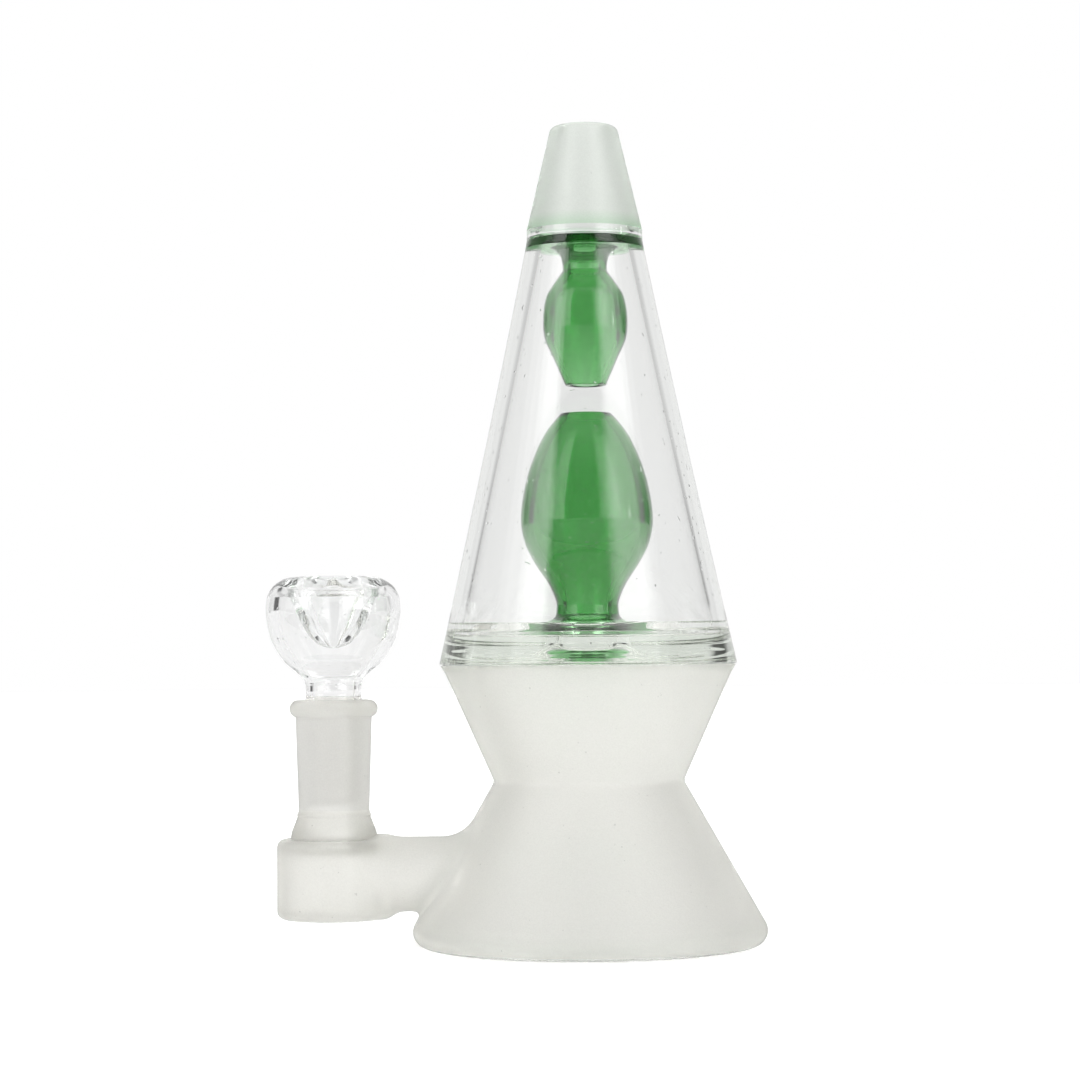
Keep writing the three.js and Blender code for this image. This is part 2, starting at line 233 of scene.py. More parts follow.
def build_table():
    turns = [2 * math.pi * i / TABLE_SIDES for i in range(TABLE_SIDES)]
    ring = [(TABLE_RADIUS * math.cos(a), TABLE_RADIUS * math.sin(a), -TABLE_DROP) for a in turns]
    mesh = bpy.data.meshes.new("table")
    mesh.from_pydata(ring, [], [list(range(TABLE_SIDES))])
    table = bpy.data.objects.new("table", mesh)
    bpy.context.scene.collection.objects.link(table)
    material = bpy.data.materials.new("white_table")
    material.use_nodes = True
    nodes = Nodes(material.node_tree)
    shader = nodes.add("ShaderNodeBsdfPrincipled", Roughness=0.6)
    shader.inputs["Base Color"].default_value = (TABLE_WHITE,) * 3 + (1,)
    shader.inputs["Emission Color"].default_value = WHITE
    path = nodes.add("ShaderNodeLightPath").outputs
    through = nodes.math("MULTIPLY", path["Is Singular Ray"],
                         nodes.math("SUBTRACT", 1.0, path["Is Camera Ray"]))
    nodes.set(shader, "Emission Strength", nodes.math(
        "MULTIPLY_ADD", through, TABLE_GLOW_THROUGH_GLASS - TABLE_GLOW, TABLE_GLOW))
    shader.inputs["Specular IOR Level"].default_value = 0.1
    nodes.set(nodes.add("ShaderNodeOutputMaterial"), "Surface", shader.outputs[0])
    mesh.materials.append(material)


def set_up_render():
    scene = bpy.context.scene
    scene.view_settings.view_transform = "Standard"
    scene.view_settings.look = "None"
    cycles = scene.cycles
    cycles.max_bounces = 32
    cycles.transmission_bounces = 28
    cycles.glossy_bounces = 16
    cycles.diffuse_bounces = 4
    cycles.transparent_max_bounces = 16
    cycles.caustics_reflective = True
    cycles.caustics_refractive = True
    cycles.blur_glossy = 0.0


build_world()
build_table()
set_up_render()


# ---- Materials ------------------------------------------------------------------------------

GLASS_IOR = 1.47
WAVE_DEPTH = 0.00002  # metres, as all reliefs
SEED_DEPTH = 0.00004
GRAIN_DEPTH = 0.00004
SCORE_DEPTH = 0.00003
ROUGHNESS_SPREAD = 0.05  # how far mottling moves the roughness either way
PALE = 0.97  # how bright the darker part of the mottling is


def new_material(name):
    material = bpy.data.materials.new(name)
    material.use_nodes = True
    return material, Nodes(material.node_tree)


def noise(nodes, place, scale, detail=2.0, roughness=0.5):
    node = nodes.add("ShaderNodeTexNoise", Vector=place, Scale=scale, Detail=detail,
                     Roughness=roughness)
    return node.outputs["Fac"]


def bump(nodes, height, depth, normal=None):
    """Relief of that depth in metres."""
    node = nodes.add("ShaderNodeBump", Height=height, Strength=1.0, Distance=depth)
    if normal is not None:
        nodes.set(node, "Normal", normal)
    return node.outputs["Normal"]


def finish_glass(nodes, shader, absorption=None, density=0):
    output = nodes.add("ShaderNodeOutputMaterial")
    nodes.set(output, "Surface", shader.outputs[0])
    if density:
        volume = nodes.add("ShaderNodeVolumeAbsorption", Density=density)
        volume.inputs["Color"].default_value = absorption
        nodes.set(output, "Volume", volume.outputs[0])


def stain_ring(nodes, place):
    """White, but for a green ring painted round the hole in the underside of the deck: painted
    light, the green vase foot as seen through the deck's glass.
    """
    split = nodes.add("ShaderNodeSeparateXYZ", Vector=place).outputs
    across = nodes.math("SQRT", nodes.math("ADD", nodes.math("POWER", split["X"], 2),
                                           nodes.math("POWER", split["Y"], 2)))
    off = nodes.math("ABSOLUTE", nodes.math("SUBTRACT", across, PAINTED_RING_RADIUS))
    ring = nodes.math("MULTIPLY", nodes.math("LESS_THAN", off, PAINTED_RING_WIDTH / 2),
                      nodes.math("LESS_THAN", split["Z"], PAINTED_RING_TOP))
    return nodes.mix(ring, WHITE, PAINTED_FOOT_GREEN)


def polished_glass(name, absorption=None, density=0, painted_ring=False):
    """Fire-polished glass: a faint slow waviness, and here and there a tiny seed or speck.

    A painted green ring can be put into its underside: painted light, the green vase foot as seen
    through the deck. Glass that absorbs is the only material of its piece, because a ray has to
    leave the volume that it entered.
    """
    material, nodes = new_material(name)
    place = nodes.add("ShaderNodeTexCoord").outputs["Object"]
    waves = bump(nodes, noise(nodes, place, 45, 1), WAVE_DEPTH)
    seeds = nodes.ramp(noise(nodes, place, 700, 0), [(0.0, 1.0), (0.13, 1.0), (0.2, 0.0)])
    normal = bump(nodes, seeds, SEED_DEPTH, waves)
    dust = nodes.ramp(noise(nodes, place, 900, 0), [(0.0, 0.25), (0.07, 0.25), (0.1, 1.0)])
    shader = nodes.add("ShaderNodeBsdfPrincipled", IOR=GLASS_IOR, Roughness=0.0, Normal=normal)
    # the painted green ring: the vase foot's green seen through the deck, painted into the colour
    colour = nodes.multiply(dust, stain_ring(nodes, place)) if painted_ring else dust
    nodes.set(shader, "Base Color", colour)
    shader.inputs["Transmission Weight"].default_value = 1.0
    finish_glass(nodes, shader, absorption, density)
    return material


def frosted_glass(name, tone=(0.84, 0.835, 0.8, 1), roughness=0.6, transmission=0.8,
                  scored=False, green_foot=None):
    """Sandblasted glass: an even fine grain, faint mottling, and a few dark specks of grit.

    A ground joint is scored as well: fine rings left by the grinding, all round it. A green
    foot is a tint between two heights in metres, strongest at the lower one.
    """
    material, nodes = new_material(name)
    place = nodes.add("ShaderNodeTexCoord").outputs["Object"]
    mottle = noise(nodes, place, 90, 5, 0.6)
    grain = noise(nodes, place, 2600, 3, 0.6)
    specks = nodes.ramp(noise(nodes, place, 900, 1), [(0.0, 0.5), (0.19, 0.75), (0.23, 1.0)])
    pale = nodes.mix(mottle, tuple(PALE * c for c in tone[:3]) + (1,), tone)
    grit = nodes.ramp(grain, [(0.3, 0.9), (0.7, 1.0)])
    colour = nodes.multiply(nodes.multiply(pale, grit), specks)
    if green_foot:
        height = nodes.add("ShaderNodeSeparateXYZ", Vector=place).outputs["Z"]
        fade = nodes.add("ShaderNodeMapRange", Value=height)
        fade.inputs["From Min"].default_value, fade.inputs["From Max"].default_value = green_foot
        tint = nodes.mix(fade.outputs["Result"], FOOT_TINT, WHITE)
        colour = nodes.multiply(colour, tint)
    dull = nodes.add("ShaderNodeMapRange", Value=mottle)
    dull.inputs["To Min"].default_value = roughness - ROUGHNESS_SPREAD
    dull.inputs["To Max"].default_value = roughness + ROUGHNESS_SPREAD
    normal = bump(nodes, grain, GRAIN_DEPTH)
    if scored:
        rings = nodes.add("ShaderNodeMapping", Vector=place)
        rings.inputs["Scale"].default_value = (60, 60, 4200)
        normal = bump(nodes, noise(nodes, rings.outputs[0], 1.0, 3), SCORE_DEPTH, normal)
    shader = nodes.add("ShaderNodeBsdfPrincipled", IOR=GLASS_IOR, Roughness=dull.outputs[0],
                       Normal=normal)
    nodes.set(shader, "Base Color", colour)
    shader.inputs["Transmission Weight"].default_value = transmission
    finish_glass(nodes, shader)
    return material


CLEAR_TINT = (0.2, 0.55, 0.35, 1)
DECK_TINT = (0.3, 0.45, 0.22, 1)
GREEN_TINT = (0.05, 0.66, 0.08, 1)
FOOT_TINT = (0.66, 0.88, 0.68, 1)  # green of the disc, seen in the frosting just above it
# A green ring painted under the deck, where the green vase foot shows through the glass: painted
# light, not a stain.
PAINTED_FOOT_GREEN = (0.25, 0.75, 0.25, 1)
PAINTED_RING_RADIUS, PAINTED_RING_WIDTH, PAINTED_RING_TOP = 0.0127, 0.0038, 0.0697  # metres
GREEN_FOOT = (0.1767, 0.1805)  # metres: the foot of the frosting, and where its tint ends
clear_glass = polished_glass("clear_glass", CLEAR_TINT, 1)
# the deck glass carries the painted green ring of the vase foot seen through it
deck_glass = polished_glass("deck_glass", DECK_TINT, 6, painted_ring=True)
green_glass = polished_glass("green_glass", GREEN_TINT, 530)
disc_glass = polished_glass("disc_glass", GREEN_TINT, 360)
smooth_glass = polished_glass("smooth_glass")
frosted_outside = frosted_glass("frosted_glass")
frosted_cap = frosted_glass("frosted_cap_glass", (0.82, 0.85, 0.81, 1), 0.5, 0.85,
                            green_foot=GREEN_FOOT)
ground_glass = frosted_glass("ground_glass", (0.9, 0.895, 0.88, 1), 0.4, 0.85, scored=True)
ground_outside = frosted_glass("scored_glass", (0.79, 0.785, 0.76, 1), 0.5, 0.72, scored=True)


# ---- Profile helpers: every point is (radius, height) in millimetres -----------------------


def arc(r, z, size, start, end, steps=10):
    """Points on an arc about (r, z), in degrees: 0 points outwards and 90 up."""
    angles = [math.radians(start + (end - start) * i / steps) for i in range(steps + 1)]
    return [(r + size * math.cos(a), z + size * math.sin(a)) for a in angles]


def curve_value(t, p0, p1, p2, p3):
    """One coordinate of a Catmull-Rom curve between p1 and p2."""
    v0, v1 = (p2 - p0) / 2, (p3 - p1) / 2
    return ((2 * p1 - 2 * p2 + v0 + v1) * t + (3 * p2 - 3 * p1 - 2 * v0 - v1)) * t * t + v0 * t + p1


def spline(points, steps=12):
    """A Catmull-Rom curve through the points, with that many steps between each two."""
    curve = []
    last = len(points) - 1
    for i in range(last):
        four = [points[j] for j in (max(i - 1, 0), i, i + 1, min(i + 2, last))]
        for k in range(steps):
            curve.append(tuple(curve_value(k / steps, *axis) for axis in zip(*four)))
    return curve + [tuple(points[last])]


def inset(line, walls):
    """The line moved towards the axis by walls given at evenly spaced places along it."""
    last = len(line) - 1
    moved = []
    for i, (r, z) in enumerate(line):
        place = i / last * (len(walls) - 1)
        before = min(int(place), len(walls) - 2)
        wall = walls[before] + (walls[before + 1] - walls[before]) * (place - before)
        r0, z0 = line[max(i - 1, 0)]
        r1, z1 = line[min(i + 1, last)]
        length = math.hypot(r1 - r0, z1 - z0)
        moved.append((r - wall * (z1 - z0) / length, z + wall * (r1 - r0) / length))
    return moved


def rounded(corners, steps=6):
    """A line through (r, z) or (r, z, fillet) corners, with an arc at each filleted one."""
    points = []
    last = len(corners) - 1
    for i, corner in enumerate(corners):
        here = Vector(corner[:2])
        fillet = corner[2] if len(corner) > 2 else 0
        if fillet == 0 or i in (0, last):
            points.append(tuple(here))
            continue
        before = (Vector(corners[i - 1][:2]) - here).normalized()
        after = (Vector(corners[i + 1][:2]) - here).normalized()
        half = before.angle(after) / 2
        centre = here + (before + after).normalized() * (fillet / math.sin(half))
        reach = fillet / math.tan(half)
        start, end = here + before * reach - centre, here + after * reach - centre
        a0 = math.atan2(start.y, start.x)
        turn = (math.atan2(end.y, end.x) - a0 + math.pi) % (2 * math.pi) - math.pi
        for k in range(steps + 1):
            a = a0 + turn * k / steps
            points.append((centre.x + fillet * math.cos(a), centre.y + fillet * math.sin(a)))
    return points


def line_at(low, high, z):
    """The radius at a height on the straight line between two (r, z) points."""
    return low[0] + (high[0] - low[0]) * (z - low[1]) / (high[1] - low[1])


# ---- Mesh helpers -----------------------------------------------------------------------------


def make_piece(name, vertices, faces, indices, materials, nodes, slot, body):
    mesh = bpy.data.meshes.new(name)
    mesh.from_pydata([Vector(v) * MM for v in vertices], [], faces)
    for material in materials:
        mesh.materials.append(material)
    mesh.polygons.foreach_set("material_index", indices)
    mesh.polygons.foreach_set("use_smooth", [True] * len(mesh.polygons))
    mesh.set_sharp_from_angle(angle=math.radians(SHARP_ANGLE))
    mesh.update()
    piece = bpy.data.objects.new(name, mesh)
    bpy.context.scene.collection.objects.link(piece)
    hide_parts(*nodes)
    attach(piece, body)
    return piece


def lathe(sections, x=0.0, sides=SIDES):
    """Turns a closed section about a vertical axis: (vertices, faces, material indices).

    Sections are (material index, points) that follow each other round the section. A profile
    that starts and ends on the axis closes there; any other one closes on its own start.
    """
    points, owners = [], []
    for index, line in sections:
        for point in line:
            if points:
                gap = math.dist(points[-1], point)
                if gap < 1e-6:
                    continue
                start, parts = points[-1], max(1, math.ceil(gap / LONGEST_SPAN))
                for k in range(1, parts):
                    points.append(tuple(u + (v - u) * k / parts for u, v in zip(start, point)))
                    owners.append(index)
            points.append(point)
            owners.append(index)
        owners[-1] = index
    on_axis = abs(points[0][0]) < 1e-9
    if not on_axis and math.dist(points[0], points[-1]) < 1e-6:
        points.pop()
        owners.pop()
    vertices, rings = [], []
    for r, z in points:
        if abs(r) < 1e-9:
            rings.append([len(vertices)])
            vertices.append((x, 0, z))
            continue
        rings.append(list(range(len(vertices), len(vertices) + sides)))
        vertices += [(x + r * math.cos(2 * math.pi * k / sides),
                      r * math.sin(2 * math.pi * k / sides), z) for k in range(sides)]
    faces, indices = [], []
    count = len(rings)
    for i in range(count if not on_axis else count - 1):
        low, high = rings[i], rings[(i + 1) % count]
        for k in range(sides):
            n = (k + 1) % sides
            if len(low) == 1:
                face = (low[0], high[n], high[k])
            elif len(high) == 1:
                face = (low[k], low[n], high[0])
            else:
                face = (low[k], low[n], high[n], high[k])
            faces.append(face)
            indices.append(owners[(i + 1) % count])
    return vertices, faces, indices


def turn_piece(name, sections, materials, nodes, slot, body="pipe", x=0.0, sides=SIDES):
    return make_piece(name, *lathe(sections, x, sides), materials, nodes, slot, body)


def box_mm(node):
    low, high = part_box(node)
    return low / MM, high / MM


# ---- Base ---------------------------------------------------------------------------------------

low, high = box_mm("base_cup")
WAIST_Z, RIM = low.z, (high.x, high.z)
low, high = box_mm("base_bell")
HEEL_EDGE = high.x
BASE_WALL = 4.0
WAIST_RADIUS = 23.4
FOOT_FLAT_RADIUS = 40.0
HEEL_RADIUS = HEEL_EDGE - FOOT_FLAT_RADIUS
FLOOR_TOP = box_mm("base_floor")[1].z
waist = (WAIST_RADIUS, WAIST_Z)
CUP_TOP_RADIUS = 35.3
POLISHED_EDGE_Z = 0.7  # the frosting stops this far above the flat underside
FROST_DROP = 0.5  # how far under the rim's sharpest edge the frosting starts


def base_profiles():
    """Outside and inside of the hourglass as closed (radius, height) polygons, to the axis."""
    lean = math.degrees(math.atan2(HEEL_EDGE - WAIST_RADIUS, WAIST_Z - HEEL_RADIUS))
    heel = arc(FOOT_FLAT_RADIUS, HEEL_RADIUS, HEEL_RADIUS, -90, lean, 10)
    over_rim = (RIM[0] + 0.6, RIM[1] + 3)
    outside = [(0, 0)] + heel + rounded([
        heel[-1], waist + (1.6,), (CUP_TOP_RADIUS, RIM[1] - 2.4, 4), RIM, over_rim,
    ], 5)[1:] + [(0, RIM[1] + 3)]
    bore = FOOT_FLAT_RADIUS - BASE_WALL
    inside = [(0, -3), (bore, -3)] + rounded([
        (bore, FLOOR_TOP), (bore - 1, 8, 3), (WAIST_RADIUS - BASE_WALL, WAIST_Z, 5),
        (RIM[0] - BASE_WALL, RIM[1]), (RIM[0] - BASE_WALL, RIM[1] + 4)], 5) + [(0, RIM[1] + 4)]
    return outside, inside


floor_radius = box_mm("base_floor")[1].x + WELD
turn_piece("floor_disc", [(0, [(0, 0.0), (floor_radius - 0.2, 0.0), (floor_radius, 0.2),
                               (floor_radius, FLOOR_TOP), (0, FLOOR_TOP)])],
           [clear_glass], ["base_floor"], "clear_glass", sides=BIG_SIDES)


# ---- Clear cone with its deck, and the lower vase -------------------------------------------

CONE_TOP_Z = box_mm("cone_body")[1].z
CONE_TOP_RADIUS = box_mm("upper_disc")[1].x
CONE_WALL = 3.8
CONE_HOLLOW = 0.3  # how far the cone's side draws in, halfway up
DECK_BOTTOM_Z = RIM[1] - FROST_DROP
BOSS_Z = box_mm("lower_deck")[1].z
DECK_HOLE_RADIUS = 7.1
FILLET_TOP_Z = 79.0
cone_top = (CONE_TOP_RADIUS, CONE_TOP_Z)


def cone_side(inward=0.0):
    """The cone's side from its foot to its top, very slightly hollow."""
    steps = 24
    side = []
    for i in range(steps + 1):
        t = i / steps
        z = RIM[1] + (CONE_TOP_Z - RIM[1]) * t
        side.append((line_at(RIM, cone_top, z) - CONE_HOLLOW * 4 * t * (1 - t) - inward, z))
    return side


def clear_cone():
    """The cone and the deck it is welded to, with the hole up into the vase.

    The deck's top falls from the boss in melted rings to a dip, and rises in a fillet.
    """
    low = DECK_BOTTOM_Z
    mouth = spline([(DECK_HOLE_RADIUS, low + 5), (DECK_HOLE_RADIUS + 0.2, low + 2.4),
                    (DECK_HOLE_RADIUS + 1.4, low + 0.9), (11, low + 0.15)], 6)
    under = spline([(14.4, low + 0.05), (16, low + 0.2), (18, low), (20.6, low + 0.25), (23.5, low),
                    (27, low + 0.15), (30.5, low)], 6)
    groove = [(RIM[0] - 0.75, low), (RIM[0] - 0.75, low + 0.12), (RIM[0] - 0.15, RIM[1] - 0.2)]
    inner_side = [point for point in cone_side(CONE_WALL)[::-1] if point[1] > FILLET_TOP_Z + 1]
    fillet_r = line_at(RIM, cone_top, FILLET_TOP_Z) - CONE_WALL
    rings = [(fillet_r, FILLET_TOP_Z), (fillet_r - 1.0, 76.9), (29.8, 75.5), (28.2, 75.6),
             (26.4, 75.1), (24.6, 75.5), (23, 75.6), (21.6, 76.9), (20.4, 77.3), (19, 77.0),
             (17.4, 77.5), (16, 77.4), (14.8, BOSS_Z - 0.1), (14.2, BOSS_Z)]
    top = spline(rings, 6) + [(DECK_HOLE_RADIUS, BOSS_Z)]
    return [(0, mouth + under + groove + cone_side() + inner_side + top)]


turn_piece("clear_cone", clear_cone(), [deck_glass], ["cone_body", "lower_deck"],
           "clear_glass", sides=BIG_SIDES)

LOWER_VASE_WALLS = [2.35, 3.0, 3.0, 2.4]
LOWER_NECK = (7.75, 82.4)
LOWER_MOUTH_Z = box_mm("lower_vase")[1].z
FOOT_RADIUS = 13.6


def lower_vase():
    line = spline([LOWER_NECK, (7.85, 84.6), (9.7, 88.9), (12.8, 93.6), (15.2, 98.3),
                   (16.35, 103.4), (16.1, 108.6), (14.8, 115.1), (12.6, 121.4), (9.9, 126.6),
                   (6.3, LOWER_MOUTH_Z)], 8)
    inside = inset(line, LOWER_VASE_WALLS)
    inside[-1] = (inside[-1][0], LOWER_MOUTH_Z)
    foot_z = BOSS_Z - WELD
    foot = [
        (inside[0][0], foot_z), (FOOT_RADIUS, foot_z),
        *spline([(FOOT_RADIUS, BOSS_Z + 0.3), (FOOT_RADIUS - 0.5, BOSS_Z + 0.9),
                 (10.6, BOSS_Z + 1.6), (8.8, BOSS_Z + 2.4), (7.95, BOSS_Z + 3.3), LOWER_NECK], 6),
    ]
    lip = rounded([line[-2], line[-1] + (0.5,), inside[-1] + (0.5,), inside[-2]], 4)
    return [(0, foot + line[1:-2] + lip + inside[-3::-1])]


turn_piece("lower_vase_glass", lower_vase(), [green_glass], ["lower_vase"], "green_glass")


# ---- Upper disc, upper vase and mouthpiece ---------------------------------------------------

DISC_TOP_Z = box_mm("upper_disc")[1].z
DISC_TOP_RADIUS = 14.4
UPPER_VASE_WALLS = [1.4, 2.8, 2.4]
NECK_RADIUS = 5.5
UPPER_MOUTH_Z = box_mm("upper_vase")[0].z


def upper_disc():
    hole = NECK_RADIUS - WELD
    bottom = CONE_TOP_Z - WELD
    return [(0, rounded([
        (hole, bottom), (CONE_TOP_RADIUS, bottom, 0.3), (DISC_TOP_RADIUS, DISC_TOP_Z, 0.3),
        (hole, DISC_TOP_Z),
    ], 4))]


def upper_vase():
    """Hangs from the disc: its neck flares where it is welded under it, and goes on through."""
    body = spline([(5, UPPER_MOUTH_Z), (7.9, 144.5), (10.15, 149.7), (10.5, 154.9), (9.7, 159.9),
                   (8, 162.9), (NECK_RADIUS, 166.5)], 12)
    inside = inset(body, UPPER_VASE_WALLS)
    inside[0] = (inside[0][0], UPPER_MOUTH_Z)
    bore = inside[-1][0]
    flare = spline([body[-1], (NECK_RADIUS + 0.1, CONE_TOP_Z - 3.8),
                    (NECK_RADIUS + 0.7, CONE_TOP_Z - 1.8), (NECK_RADIUS + 2.2, CONE_TOP_Z - 0.4),
                    (NECK_RADIUS + 2.9, CONE_TOP_Z)], 6)
    through = [(NECK_RADIUS, CONE_TOP_Z), (NECK_RADIUS, DISC_TOP_Z), (bore, DISC_TOP_Z)]
    lip = rounded([inside[1], inside[0] + (0.5,), body[0] + (0.5,), body[1]], 4)
    return [(0, lip + body[2:-1] + flare + through + inside[:0:-1])]


turn_piece("upper_disc_glass", upper_disc(), [disc_glass], ["upper_disc"], "green_glass")
turn_piece("upper_vase_glass", upper_vase(), [green_glass], ["upper_vase"], "green_glass")

MOUTHPIECE_TOP = box_mm("mouthpiece")[1].z
LIP = 1.9
FROST_START_Z = DISC_TOP_Z + 2.4
MOUTHPIECE_RADIUS = 8.6
MOUTH_BORE_RADIUS = 5.4


def mouthpiece():
    foot = DISC_TOP_RADIUS
    outside = arc(MOUTHPIECE_RADIUS - LIP, MOUTHPIECE_TOP - LIP, LIP, 12, 90, 10)
    wall = [(foot, DISC_TOP_Z - WELD), (foot, FROST_START_Z)]
    lip_inside = arc(MOUTH_BORE_RADIUS + 0.8, MOUTHPIECE_TOP - 0.8, 0.8, 90, 180, 5)
    frost = [wall[-1]] + outside + lip_inside
    inside = [(foot - 3, DISC_TOP_Z + 1.2), (foot - 3.6, DISC_TOP_Z - WELD)]
    return [(1, wall), (0, frost), (1, inside)]


turn_piece("mouthpiece_glass", mouthpiece(), [frosted_cap, smooth_glass],
           ["mouthpiece"], "frosted_glass")


# ---- Side arm -----------------------------------------------------------------------------------

low, high = box_mm("side_pot")
ARM_X = (low.x + high.x) / 2
POT_RADIUS = (high.x - low.x) / 2
POT_BOTTOM_Z, POT_TOP_Z = low.z, high.z
POT_WALL = 2.6
POT_CORNER = 2.0
low, high = box_mm("side_tube")
TUBE_Z = (low.z + high.z) / 2
TUBE_RADIUS = (high.z - low.z) / 2
low, high = box_mm("joint_socket")
LIP_RADIUS, LIP_TOP_Z = (high.x - low.x) / 2, high.z
LIP_BOTTOM_Z = 56.5
SOCKET_TOP_RADIUS, SOCKET_BOTTOM_RADIUS = 9.4, 8.7
SOCKET_NECK_Z = 33.8
SOCKET_FOOT_RADIUS = 10.7
JOINT_FIT = 0.08  # gap between the two ground faces
JOINT_TOP_RADIUS = 7.25
JOINT_SLOPE = 0.05  # on the radius, so 1 in 10 on the diameter
PLUG_END_Z = box_mm("bowl_joint")[0].z


def joint_radius(z):
    """The ground bore of a 14.5/23 joint, 1 in 10, at a height."""
    return JOINT_TOP_RADIUS - JOINT_SLOPE * (LIP_TOP_Z - z)


SOCKET_BORE = joint_radius(PLUG_END_Z)


def joint_socket():
    """Flared foot, ring, ground length with straight sides, and rolled lip."""
    half = (LIP_TOP_Z - LIP_BOTTOM_Z) / 2
    lip_z = (LIP_TOP_Z + LIP_BOTTOM_Z) / 2
    bottom = POT_TOP_Z - WELD
    foot = [(SOCKET_BORE, bottom), (SOCKET_FOOT_RADIUS, bottom)] + spline([
        (SOCKET_FOOT_RADIUS, POT_TOP_Z), (SOCKET_FOOT_RADIUS - 0.3, POT_TOP_Z + 1.8),
        (SOCKET_BOTTOM_RADIUS + 0.9, POT_TOP_Z + 3.9), (SOCKET_BOTTOM_RADIUS + 0.3, 32.1)], 6)
    ring = spline([(SOCKET_BOTTOM_RADIUS + 0.3, 32.1), (SOCKET_BOTTOM_RADIUS + 0.4, 32.6),
                   (SOCKET_BOTTOM_RADIUS + 0.1, 33.2), (SOCKET_BOTTOM_RADIUS, SOCKET_NECK_Z)], 4)
    wall = [(SOCKET_BOTTOM_RADIUS, SOCKET_NECK_Z), (SOCKET_TOP_RADIUS, LIP_BOTTOM_Z)]
    lip = arc(LIP_RADIUS - half, lip_z, half, -70, 70, 12) + [
        (SOCKET_TOP_RADIUS - 1.1, LIP_TOP_Z), (JOINT_TOP_RADIUS + 0.3, LIP_TOP_Z)]
    bore = [(JOINT_TOP_RADIUS, LIP_TOP_Z - 0.3), (SOCKET_BORE, PLUG_END_Z),
            (SOCKET_BORE, bottom + 0.1)]
    return [(0, foot + ring), (2, wall[1:]), (0, lip), (1, bore)]


turn_piece("joint_socket_glass", joint_socket(),
           [frosted_outside, smooth_glass, ground_outside], ["joint_socket"],
           "frosted_glass", x=ARM_X)


# The base, the pot and the tube between them are one welded shell, found from its distance field.

TUBE_WALL = 2.4
TUBE_START_X = ARM_X + 7  # inside the pot
TUBE_END_X = -20  # inside the bell
POT_WELD = 3.6  # mm over which the tube's glass runs into the pot's
BELL_WELD, BELL_WELD_BELOW = 5.0, 2.2  # the same at the bell, above and under the tube
BORE_WELD, THROAT_WELD = 2.0, 1.0  # the same inside: between the hollows, and at the socket
SHELL_LOW, SHELL_HIGH = (-80, -46, -2), (46, 46, RIM[1] + 1.6)
SHELL_STEP = 0.8  # mm between the field's grid points
SLOPE_STEP = 0.02  # mm either way over which the field's slope is taken
CORNERS = [(i, j, k) for i in (0, 1) for j in (0, 1) for k in (0, 1)]
CELL_EDGES = [(a, b) for a in CORNERS for b in CORNERS
              if a < b and sum(u != v for u, v in zip(a, b)) == 1]


def polygon_distance(r, z, polygon):
    """Distance from (r, z) to a closed polygon, negative inside."""
    best = np.full(r.shape, 1e9)
    inside = np.zeros(r.shape, bool)
    for (r0, z0), (r1, z1) in zip(polygon, polygon[1:] + polygon[:1]):
        dr, dz = r1 - r0, z1 - z0
        length = dr * dr + dz * dz
        if length < 1e-12:
            continue
        t = np.clip(((r - r0) * dr + (z - z0) * dz) / length, 0, 1)
        if max(abs(r0), abs(r1)) > 1e-9:
            best = np.minimum(best, (r - r0 - t * dr) ** 2 + (z - z0 - t * dz) ** 2)
        if dz:
            inside ^= ((z0 > z) != (z1 > z)) & (r < r0 + (z - z0) * dr / dz)
    return np.where(inside, -1, 1) * np.sqrt(best)


def melt(a, b, reach):
    """The nearer of two distances, run together where they are within reach of each other."""
    near = np.maximum(reach - np.abs(a - b), 0) / reach
    return np.minimum(a, b) - near * near * reach / 4


def can(x, y, z, centre_x, radius, low, high, corner):
    """Distance from an upright round can with rounded edges."""
    out = np.hypot(x - centre_x, y) - (radius - corner)
    up = np.abs(z - (low + high) / 2) - ((high - low) / 2 - corner)
    return (np.hypot(np.maximum(out, 0), np.maximum(up, 0))
            + np.minimum(np.maximum(out, up), 0) - corner)


base_outside, base_inside = base_profiles()


def outer_skin(x, y, z):
    tube = np.maximum(np.hypot(y, z - TUBE_Z) - TUBE_RADIUS, TUBE_START_X - x)
    tube = np.maximum(tube, x - TUBE_END_X)
    pot = can(x, y, z, ARM_X, POT_RADIUS, POT_BOTTOM_Z, POT_TOP_Z, POT_CORNER)
    below = np.clip((z - TUBE_Z + TUBE_RADIUS) / TUBE_RADIUS, 0, 1)
    weld = BELL_WELD_BELOW + (BELL_WELD - BELL_WELD_BELOW) * below * below * (3 - 2 * below)
    base = polygon_distance(np.hypot(x, y), z, base_outside)
    return melt(melt(pot, tube, POT_WELD), base, weld)


def inner_skin(x, y, z):
    tube = np.maximum(np.hypot(y, z - TUBE_Z) - (TUBE_RADIUS - TUBE_WALL), ARM_X - x)
    tube = np.maximum(tube, x - TUBE_END_X)
    pot = can(x, y, z, ARM_X, POT_RADIUS - POT_WALL, POT_BOTTOM_Z + POT_WALL,
              POT_TOP_Z - POT_WALL, 1.5)
    bore = np.maximum(np.hypot(x - ARM_X, y) - SOCKET_BORE, TUBE_Z - z)
    base = polygon_distance(np.hypot(x, y), z, base_inside)
    return melt(melt(melt(pot, tube, BORE_WELD), bore, THROAT_WELD), base, BORE_WELD)


def shell_distance(x, y, z):
    return np.maximum(outer_skin(x, y, z), -inner_skin(x, y, z))


